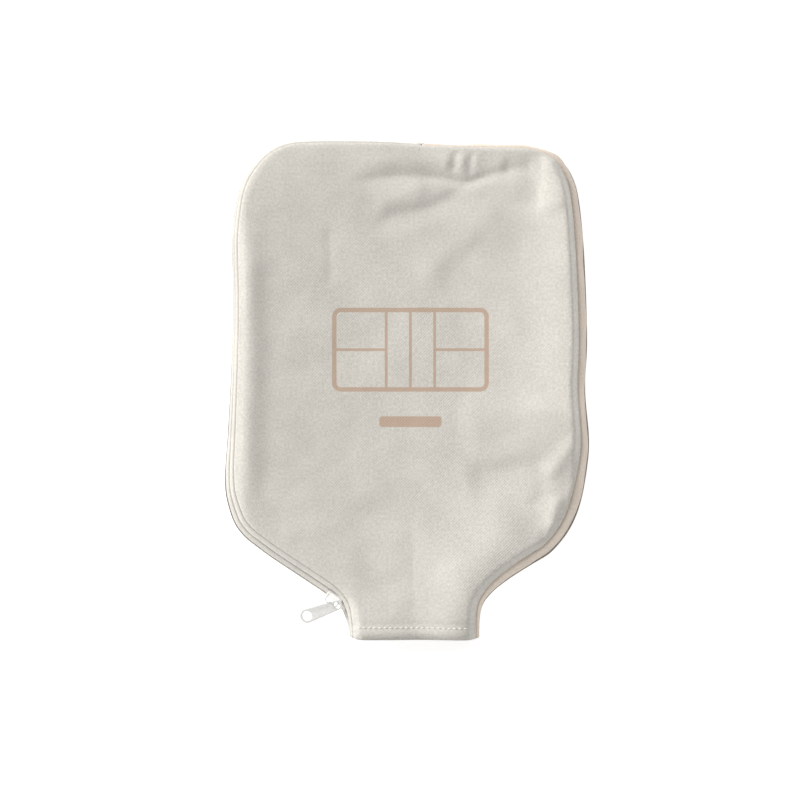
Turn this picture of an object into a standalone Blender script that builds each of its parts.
"""Zipped paddle case of padded canvas: two panels, a gusset, a wrap-round zip and an open neck."""
import math

import bmesh
import bpy
import numpy as np
from mathutils import Matrix, Vector

MM = 0.001
GAP = 0.3 * MM                      # clearance between touching pieces

# Layers, from the table up
CANVAS = 1.0 * MM
PADDING = 2.0 * MM
LINING = 0.6 * MM
HEIGHT = 17.0 * MM                  # outside of the back panel to outside of the front panel

# The rim, clockwise from the neck's left corner: x, y and how far the front edge is set in, in mm.
ZIP_SIDE = [
    (-34.5, -150.6, 2.0), (-37.0, -141.0, 4.0), (-41.8, -131.4, 8.0), (-48.5, -125.8, 9.0),
    (-67.0, -113.3, 9.0), (-87.0, -99.8, 9.0), (-103.0, -86.0, 8.8), (-110.0, -68.0, 8.0),
    (-111.3, -52.0, 7.0),
    (-109.5, -26.0, 6.0), (-107.2, 18.0, 5.2), (-106.4, 55.0, 5.0), (-107.0, 91.0, 5.0),
    (-104.5, 114.0, 5.0), (-99.7, 128.5, 4.5), (-88.0, 143.0, 3.8), (-74.0, 150.0, 3.0),
    (-57.0, 151.4, 2.6), (-35.0, 151.4, 2.5), (-13.0, 151.0, 2.5), (8.6, 149.8, 2.5),
]
GUSSET_SIDE = [
    (40.0, 149.2, 3.0), (75.0, 148.5, 3.5), (91.0, 142.8, 4.5), (97.9, 135.5, 5.5),
    (104.0, 120.8, 6.0), (107.6, 91.4, 6.5), (109.5, 54.7, 6.5), (110.0, 25.4, 6.5),
    (108.8, 0.0, 6.0), (111.2, -29.7, 6.5), (110.0, -48.0, 7.0), (105.8, -70.0, 8.0),
    (99.0, -86.0, 8.0), (88.0, -99.4, 8.0), (76.5, -106.7, 7.5), (64.8, -114.0, 7.0),
    (54.0, -122.0, 6.0), (47.0, -130.0, 4.5), (44.6, -138.0, 3.0), (43.5, -150.6, 2.0),
]
STEPS_PER_KNOT = 8
OUTLINE_POINTS = 84
STRIP_STEP = 6.5 * MM

# The closed edge, as heights on the leaning side wall
BAND_LOW = 1.3 * MM
BAND_TOP = 3.6 * MM
COIL_SPLIT = 1.7 * MM               # between the two coils, where the slider's post runs
COIL_HEIGHT = 1.4 * MM
COIL_THICK = 1.6 * MM
TAPE_THICK = 0.8 * MM
BAND_THICK = 1.8 * MM
GUSSET_THICK = 1.2 * MM

ZIP_START = 20.0 * MM               # along the rim from the neck's corner to the coils' end
ZIP_END_GAP = 4.0 * MM
STOP_LENGTH = 3.0 * MM

# Slider and pull tab
SLIDER_AT = 26.0 * MM               # along the rim
SLIDER_LENGTH = 10.0 * MM
SLIDER_WIDTH = 6.6 * MM
SLIDER_PLATE = 1.0 * MM
SLIDER_CHANNEL = 4.6 * MM
POST_LENGTH = 2.4 * MM
POST_THICK = 1.0 * MM
SLIDER_TRAVEL = 58.0 * MM
BRIDGE_WIRE = 1.1 * MM
BRIDGE_HEIGHT = 5.4 * MM
BRIDGE_LENGTH = 8.0 * MM
RING_HEIGHT = 3.1 * MM              # of the tab's small hole above the outer plate
TAB_LENGTH = 20.0 * MM              # between the centres of its two holes
TAB_THICK = 0.9 * MM
TAB_NEAR_RADIUS = 3.2 * MM
TAB_FAR_RADIUS = 4.5 * MM
TAB_NEAR_HOLE = 1.9 * MM
TAB_FAR_HOLE = 2.8 * MM
TAB_HEADING = 201.0                 # degrees, in plan
TAB_DROOP = 12.0                    # degrees, its far end nearer the table

INNER_MARGIN = 8.0 * MM             # from the outside of the wall to the inner layers
LINING_SETBACK = 2.0 * MM           # of the linings from the neck's mouth

HEM_WIDTH = 7.0 * MM
FRONT_HEM_INSETS = (2.0 * MM, 3.0 * MM)   # its thread's ends, in from the wall
BACK_HEM_INSET = 6.0 * MM
THREAD_WIDTH = 0.7 * MM
THREAD_HEIGHT = 0.4 * MM

COLOURS = {
    "canvas": ((0.66, 0.64, 0.58), 0.9, 0.0),
    "foam": ((0.55, 0.55, 0.53), 0.95, 0.0),
    "lining": ((0.60, 0.58, 0.53), 0.85, 0.0),
    "tape": ((0.62, 0.60, 0.54), 0.85, 0.0),
    "coil": ((0.70, 0.68, 0.62), 0.5, 0.0),
    "metal": ((0.80, 0.79, 0.76), 0.35, 1.0),
    "thread": ((0.70, 0.68, 0.62), 0.8, 0.0),
}


def clear_scene():
    for thing in list(bpy.data.objects):
        bpy.data.objects.remove(thing, do_unlink=True)


def new_collection(name):
    group = bpy.data.collections.new(name)
    bpy.context.scene.collection.children.link(group)
    return group


def new_material(name):
    colour, roughness, metallic = COLOURS[name]
    material = bpy.data.materials.new(name)
    material.use_nodes = True
    shader = material.node_tree.nodes["Principled BSDF"]
    shader.inputs["Base Color"].default_value = (*colour, 1.0)
    shader.inputs["Roughness"].default_value = roughness
    shader.inputs["Metallic"].default_value = metallic
    return material


def smooth_through(knots):
    """Catmull-Rom points through the rim's knots, in metres."""
    given = np.array(knots) * MM
    first = 2 * given[0] - given[1]
    last = 2 * given[-1] - given[-2]
    padded = np.vstack([first, given, last])
    points = []
    for k in range(len(given) - 1):
        a, b, c, d = padded[k:k + 4]
        for step in range(STEPS_PER_KNOT):
            t = step / STEPS_PER_KNOT
            curve = (2 * b + (c - a) * t + (2 * a - 5 * b + 4 * c - d) * t ** 2
                     + (3 * b - a - 3 * c + d) * t ** 3)
            points.append(curve / 2)
    points.append(given[-1])
    return np.array(points)


def arc_lengths(points):
    steps = np.linalg.norm(np.diff(points[:, :2], axis=0), axis=1)
    return np.concatenate([[0.0], np.cumsum(steps)])


RIM = smooth_through(ZIP_SIDE + GUSSET_SIDE)
RIM_S = arc_lengths(RIM)
RIM_END = RIM_S[-1]
ZIP_END = RIM_S[(len(ZIP_SIDE) - 1) * STEPS_PER_KNOT]


def back_edge(s):
    return Vector((np.interp(s, RIM_S, RIM[:, 0]), np.interp(s, RIM_S, RIM[:, 1]), 0.0))


def inward(s):
    """Level direction from the rim into the case."""
    reach = 3 * MM
    along = back_edge(min(s + reach, RIM_END)) - back_edge(max(s - reach, 0.0))
    along.normalize()
    return Vector((along.y, -along.x, 0.0))


def wall(s, z, depth=0.0):
    """Point on the leaning side wall at height z, moved into the case by depth."""
    lean = np.interp(s, RIM_S, RIM[:, 2]) * z / HEIGHT
    point = back_edge(s) + inward(s) * (lean + depth)
    point.z = z
    return point


def add_object(name, mesh, material, group):
    thing = bpy.data.objects.new(name, mesh)
    thing.data.materials.clear()
    thing.data.materials.append(material)
    group.objects.link(thing)
    return thing


def curve_to_mesh(curve, group):
    """A mesh with welded caps from a filled curve, which it replaces."""
    holder = bpy.data.objects.new("outline", curve)
    group.objects.link(holder)
    bpy.context.view_layer.update()
    evaluated = holder.evaluated_get(bpy.context.evaluated_depsgraph_get())
    mesh = bpy.data.meshes.new_from_object(evaluated)
    bpy.data.objects.remove(holder, do_unlink=True)
    shape = bmesh.new()
    shape.from_mesh(mesh)
    bmesh.ops.remove_doubles(shape, verts=shape.verts, dist=0.01 * MM)
    bmesh.ops.recalc_face_normals(shape, faces=shape.faces)
    shape.to_mesh(mesh)
    shape.free()
    return mesh


def flat_curve(outlines, thickness):
    curve = bpy.data.curves.new("outline", "CURVE")
    curve.dimensions = "2D"
    curve.fill_mode = "BOTH"
    curve.extrude = thickness / 2
    for outline in outlines:
        spline = curve.splines.new("POLY")
        spline.points.add(len(outline) - 1)
        for point, place in zip(spline.points, outline):
            point.co = (place[0], place[1], 0.0, 1.0)
        spline.use_cyclic_u = True
    return curve


def sheet_layer(name, low, thickness, margin, mouth_margin, material, group):
    """One flat layer with the case's outline at its own height, set in by margin."""
    middle = low + thickness / 2
    start = max(mouth_margin, 0.01 * MM)
    outline = [wall(s, middle, margin) for s in np.linspace(start, RIM_END - start, OUTLINE_POINTS)]
    mesh = curve_to_mesh(flat_curve([outline], thickness), group)
    mesh.transform(Matrix.Translation((0.0, 0.0, middle)))
    return add_object(name, mesh, material, group)


def fold_line():
    """Top and bottom of the line that the front folds along, on the front's outer face."""
    return wall(ZIP_END, HEIGHT), wall(RIM_END, HEIGHT)


def split_at_fold(whole, flap_name, side_name, group):
    """Cut a front layer into the part that lifts and the part that stays."""
    top, bottom = fold_line()
    along = (bottom - top).normalized()
    across = Vector((-along.y, along.x, 0.0))        # points to the side that stays
    for name, sign in ((flap_name, -1), (side_name, 1)):
        shape = bmesh.new()
        shape.from_mesh(whole.data)
        cut = bmesh.ops.bisect_plane(
            shape, geom=shape.verts[:] + shape.edges[:] + shape.faces[:], dist=0.001 * MM,
            plane_co=top + across * sign * GAP / 2, plane_no=across * sign, clear_inner=True)
        edges = [item for item in cut["geom_cut"] if isinstance(item, bmesh.types.BMEdge)]
        bmesh.ops.holes_fill(shape, edges=edges, sides=0)
        bmesh.ops.recalc_face_normals(shape, faces=shape.faces)
        mesh = bpy.data.meshes.new(name)
        shape.to_mesh(mesh)
        shape.free()
        add_object(name, mesh, whole.data.materials[0], group)
    bpy.data.objects.remove(whole, do_unlink=True)


def strip(name, start, end, low, high, thickness, material, group, step=STRIP_STEP, proud=0.0):
    """A band of the leaning side wall, lofted along the rim."""
    count = max(2, math.ceil((end - start) / step) + 1)
    shape = bmesh.new()
    rings = []
    for s in np.linspace(start, end, count):
        corners = (wall(s, low, -proud), wall(s, high, -proud),
                   wall(s, high, thickness - proud), wall(s, low, thickness - proud))
        rings.append([shape.verts.new(corner) for corner in corners])
    for ring, after in zip(rings, rings[1:]):
        for k in range(4):
            shape.faces.new((ring[k], ring[(k + 1) % 4], after[(k + 1) % 4], after[k]))
    shape.faces.new(rings[0])
    shape.faces.new(rings[-1])
    bmesh.ops.recalc_face_normals(shape, faces=shape.faces)
    mesh = bpy.data.meshes.new(name)
    shape.to_mesh(mesh)
    shape.free()
    return add_object(name, mesh, material, group)


def block(name, size, place, material, group):
    mesh = bpy.data.meshes.new(name)
    shape = bmesh.new()
    bmesh.ops.create_cube(shape, size=1.0)
    bmesh.ops.scale(shape, vec=size, verts=shape.verts)
    bmesh.ops.translate(shape, vec=place, verts=shape.verts)
    shape.to_mesh(mesh)
    shape.free()
    return add_object(name, mesh, material, group)


def join_with(thing, other):
    """Boolean union with another piece, which then only guides it."""
    union = thing.modifiers.new("union", "BOOLEAN")
    union.operation = "UNION"
    union.object = other
    other.hide_render = True
    other.display_type = "WIRE"


def slider_frame():
    """Place and axes of the slider: X along its travel, Z out of the wall."""
    middle = HEIGHT / 2
    here = wall(SLIDER_AT, middle, COIL_THICK / 2)
    there = wall(SLIDER_AT + SLIDER_TRAVEL, middle, COIL_THICK / 2)
    travel = there - here
    travel.z = 0.0
    travel.normalize()
    lean = np.interp(SLIDER_AT, RIM_S, RIM[:, 2])
    level_out = Vector((-travel.y, travel.x, 0.0))
    outward = (level_out * HEIGHT + Vector((0.0, 0.0, lean))).normalized()
    side = outward.cross(travel)
    axes = Matrix((travel, side, outward)).transposed().to_4x4()
    return Matrix.Translation(here) @ axes


def make_bridge(group):
    """The wire arch that the pull tab hangs on."""
    foot = SLIDER_CHANNEL / 2 + SLIDER_PLATE / 2
    crown = SLIDER_CHANNEL / 2 + SLIDER_PLATE + BRIDGE_HEIGHT
    half = BRIDGE_LENGTH / 2
    corner = 1.2 * MM
    route = [(-half, foot), (-half, crown - corner), (-half + corner, crown),
             (half - corner, crown), (half, crown - corner), (half, foot)]
    curve = bpy.data.curves.new("bridge", "CURVE")
    curve.dimensions = "3D"
    curve.bevel_depth = BRIDGE_WIRE / 2
    curve.bevel_resolution = 2
    curve.use_fill_caps = True
    spline = curve.splines.new("POLY")
    spline.points.add(len(route) - 1)
    for point, (x, z) in zip(spline.points, route):
        point.co = (x, 0.0, z, 1.0)
    return curve_to_mesh(curve, group)


def make_slider(metal, group, guides):
    offset = SLIDER_CHANNEL / 2 + SLIDER_PLATE / 2
    plate = (SLIDER_LENGTH, SLIDER_WIDTH, SLIDER_PLATE)
    slider = block("slider_body", plate, (0.0, 0.0, offset), metal, group)
    inner = block("inner_plate", plate, (0.0, 0.0, -offset), metal, guides)
    placing = slider_frame()
    lean = math.asin(placing.col[2].z)
    post_size = (POST_LENGTH, POST_THICK, (SLIDER_CHANNEL + SLIDER_PLATE) / math.cos(lean))
    post = block("post", post_size, (0.0, 0.0, 0.0), metal, guides)
    post_x = POST_LENGTH / 2 + GAP - SLIDER_LENGTH / 2
    bridge = add_object("bridge", make_bridge(guides), metal, guides)
    for thing in (slider, inner, bridge):
        thing.matrix_world = placing
    level = Matrix.Translation((post_x, 0.0, 0.0)) @ Matrix.Rotation(-lean, 4, "X")
    post.matrix_world = placing @ level
    for other in (post, inner, bridge):
        join_with(slider, other)
    return placing


def arc_points(centre_x, radius, start, end, count):
    turns = [math.radians(start + (end - start) * k / (count - 1)) for k in range(count)]
    return [(centre_x + radius * math.cos(turn), radius * math.sin(turn)) for turn in turns]


def make_pull_tab(metal, group, placing):
    """A flat tapered tab with a hole at each end, its small hole round the bridge's leg."""
    taper = math.degrees(math.asin((TAB_FAR_RADIUS - TAB_NEAR_RADIUS) / TAB_LENGTH))
    outline = arc_points(0.0, TAB_NEAR_RADIUS, 90 + taper, 270 - taper, 13)
    outline += arc_points(TAB_LENGTH, TAB_FAR_RADIUS, -90 - taper, 90 + taper, 17)
    near_hole = arc_points(0.0, TAB_NEAR_HOLE, 0, 360 - 22.5, 16)
    far_hole = arc_points(TAB_LENGTH, TAB_FAR_HOLE, 0, 360 - 20, 18)
    mesh = curve_to_mesh(flat_curve([outline, near_hole, far_hole], TAB_THICK), group)
    tab = add_object("pull_tab", mesh, metal, group)
    leg = Vector((-BRIDGE_LENGTH / 2, 0.0, SLIDER_CHANNEL / 2 + SLIDER_PLATE + RING_HEIGHT))
    hook = placing @ leg
    heading = math.radians(TAB_HEADING)
    turn = Matrix.Rotation(heading, 4, "Z") @ Matrix.Rotation(math.radians(TAB_DROOP), 4, "Y")
    tab.matrix_world = Matrix.Translation(hook) @ turn
    return tab


def build():
    clear_scene()
    case = new_collection("paddle_case")
    guides = new_collection("guides")
    canvas, foam, lining, tape, coil, metal, thread = (new_material(name) for name in COLOURS)

    back_padding_low = CANVAS + GAP
    back_lining_low = back_padding_low + PADDING + GAP
    front_low = HEIGHT - CANVAS
    front_padding_low = front_low - GAP - PADDING
    front_lining_low = front_padding_low - GAP - LINING

    sheet_layer("back_panel", 0.0, CANVAS, 0.0, 0.0, canvas, case)
    sheet_layer("back_padding", back_padding_low, PADDING, INNER_MARGIN, HEM_WIDTH, foam, case)
    sheet_layer("back_lining", back_lining_low, LINING, INNER_MARGIN, LINING_SETBACK, lining, case)
    front_layers = (
        ("front_panel", front_low, CANVAS, 0.0, 0.0, canvas),
        ("front_padding", front_padding_low, PADDING, INNER_MARGIN, HEM_WIDTH, foam),
        ("front_lining", front_lining_low, LINING, INNER_MARGIN, LINING_SETBACK, lining),
    )
    for name, low, thickness, margin, mouth, material in front_layers:
        whole = sheet_layer(name, low, thickness, margin, mouth, material, case)
        split_at_fold(whole, name + "_flap", name + "_side", case)

    middle = HEIGHT / 2
    coil_low = middle - COIL_SPLIT / 2 - COIL_HEIGHT
    coil_high = middle + COIL_SPLIT / 2
    zip_end = ZIP_END - ZIP_END_GAP
    flap_end = ZIP_END - GAP
    band_high = HEIGHT - CANVAS - GAP
    front_band_low = HEIGHT - BAND_TOP
    strip("back_edge_band", GAP, ZIP_END, BAND_LOW, BAND_TOP, BAND_THICK, canvas, case)
    strip("back_zip_tape", GAP, ZIP_END, BAND_TOP + GAP, coil_low - GAP, TAPE_THICK, tape, case)
    strip("back_zip_coil", ZIP_START, zip_end, coil_low, coil_low + COIL_HEIGHT,
          COIL_THICK, coil, case)
    strip("front_zip_coil", ZIP_START, zip_end, coil_high, coil_high + COIL_HEIGHT,
          COIL_THICK, coil, case)
    strip("front_zip_tape", GAP, flap_end, coil_high + COIL_HEIGHT + GAP, front_band_low - GAP,
          TAPE_THICK, tape, case)
    strip("front_edge_band", GAP, flap_end, front_band_low, band_high, BAND_THICK, canvas, case)
    strip("gusset_strip", ZIP_END + GAP, RIM_END - GAP, BAND_LOW, band_high,
          GUSSET_THICK, canvas, case)

    stop_end = ZIP_START - GAP
    stop_start = stop_end - STOP_LENGTH
    strip("back_top_stop", stop_start, stop_end, coil_low, coil_low + COIL_HEIGHT,
          COIL_THICK, metal, case, step=STOP_LENGTH)
    strip("front_top_stop", stop_start, stop_end, coil_high, coil_high + COIL_HEIGHT,
          COIL_THICK, metal, case, step=STOP_LENGTH)
    strip("bottom_stop", zip_end + GAP, zip_end + GAP + STOP_LENGTH, coil_low,
          coil_low + COIL_HEIGHT, COIL_THICK, metal, case, step=STOP_LENGTH)

    hem_y = wall(0.0, 0.0).y + HEM_WIDTH
    hem_end = RIM_END - HEM_WIDTH
    back_ends = wall(HEM_WIDTH, back_lining_low, BACK_HEM_INSET), wall(hem_end, 0.0, BACK_HEM_INSET)
    left_inset, right_inset = FRONT_HEM_INSETS
    front_ends = wall(HEM_WIDTH, HEIGHT, left_inset), wall(hem_end, HEIGHT, right_inset)
    for name, ends, z in (("back_hem_thread", back_ends, back_lining_low + LINING),
                          ("front_hem_thread", front_ends, HEIGHT)):
        left, right = ends
        size = (right.x - left.x, THREAD_WIDTH, THREAD_HEIGHT)
        place = ((left.x + right.x) / 2, hem_y, z + GAP + THREAD_HEIGHT / 2)
        block(name, size, place, thread, case)

    placing = make_slider(metal, case, guides)
    make_pull_tab(metal, case, placing)


build()
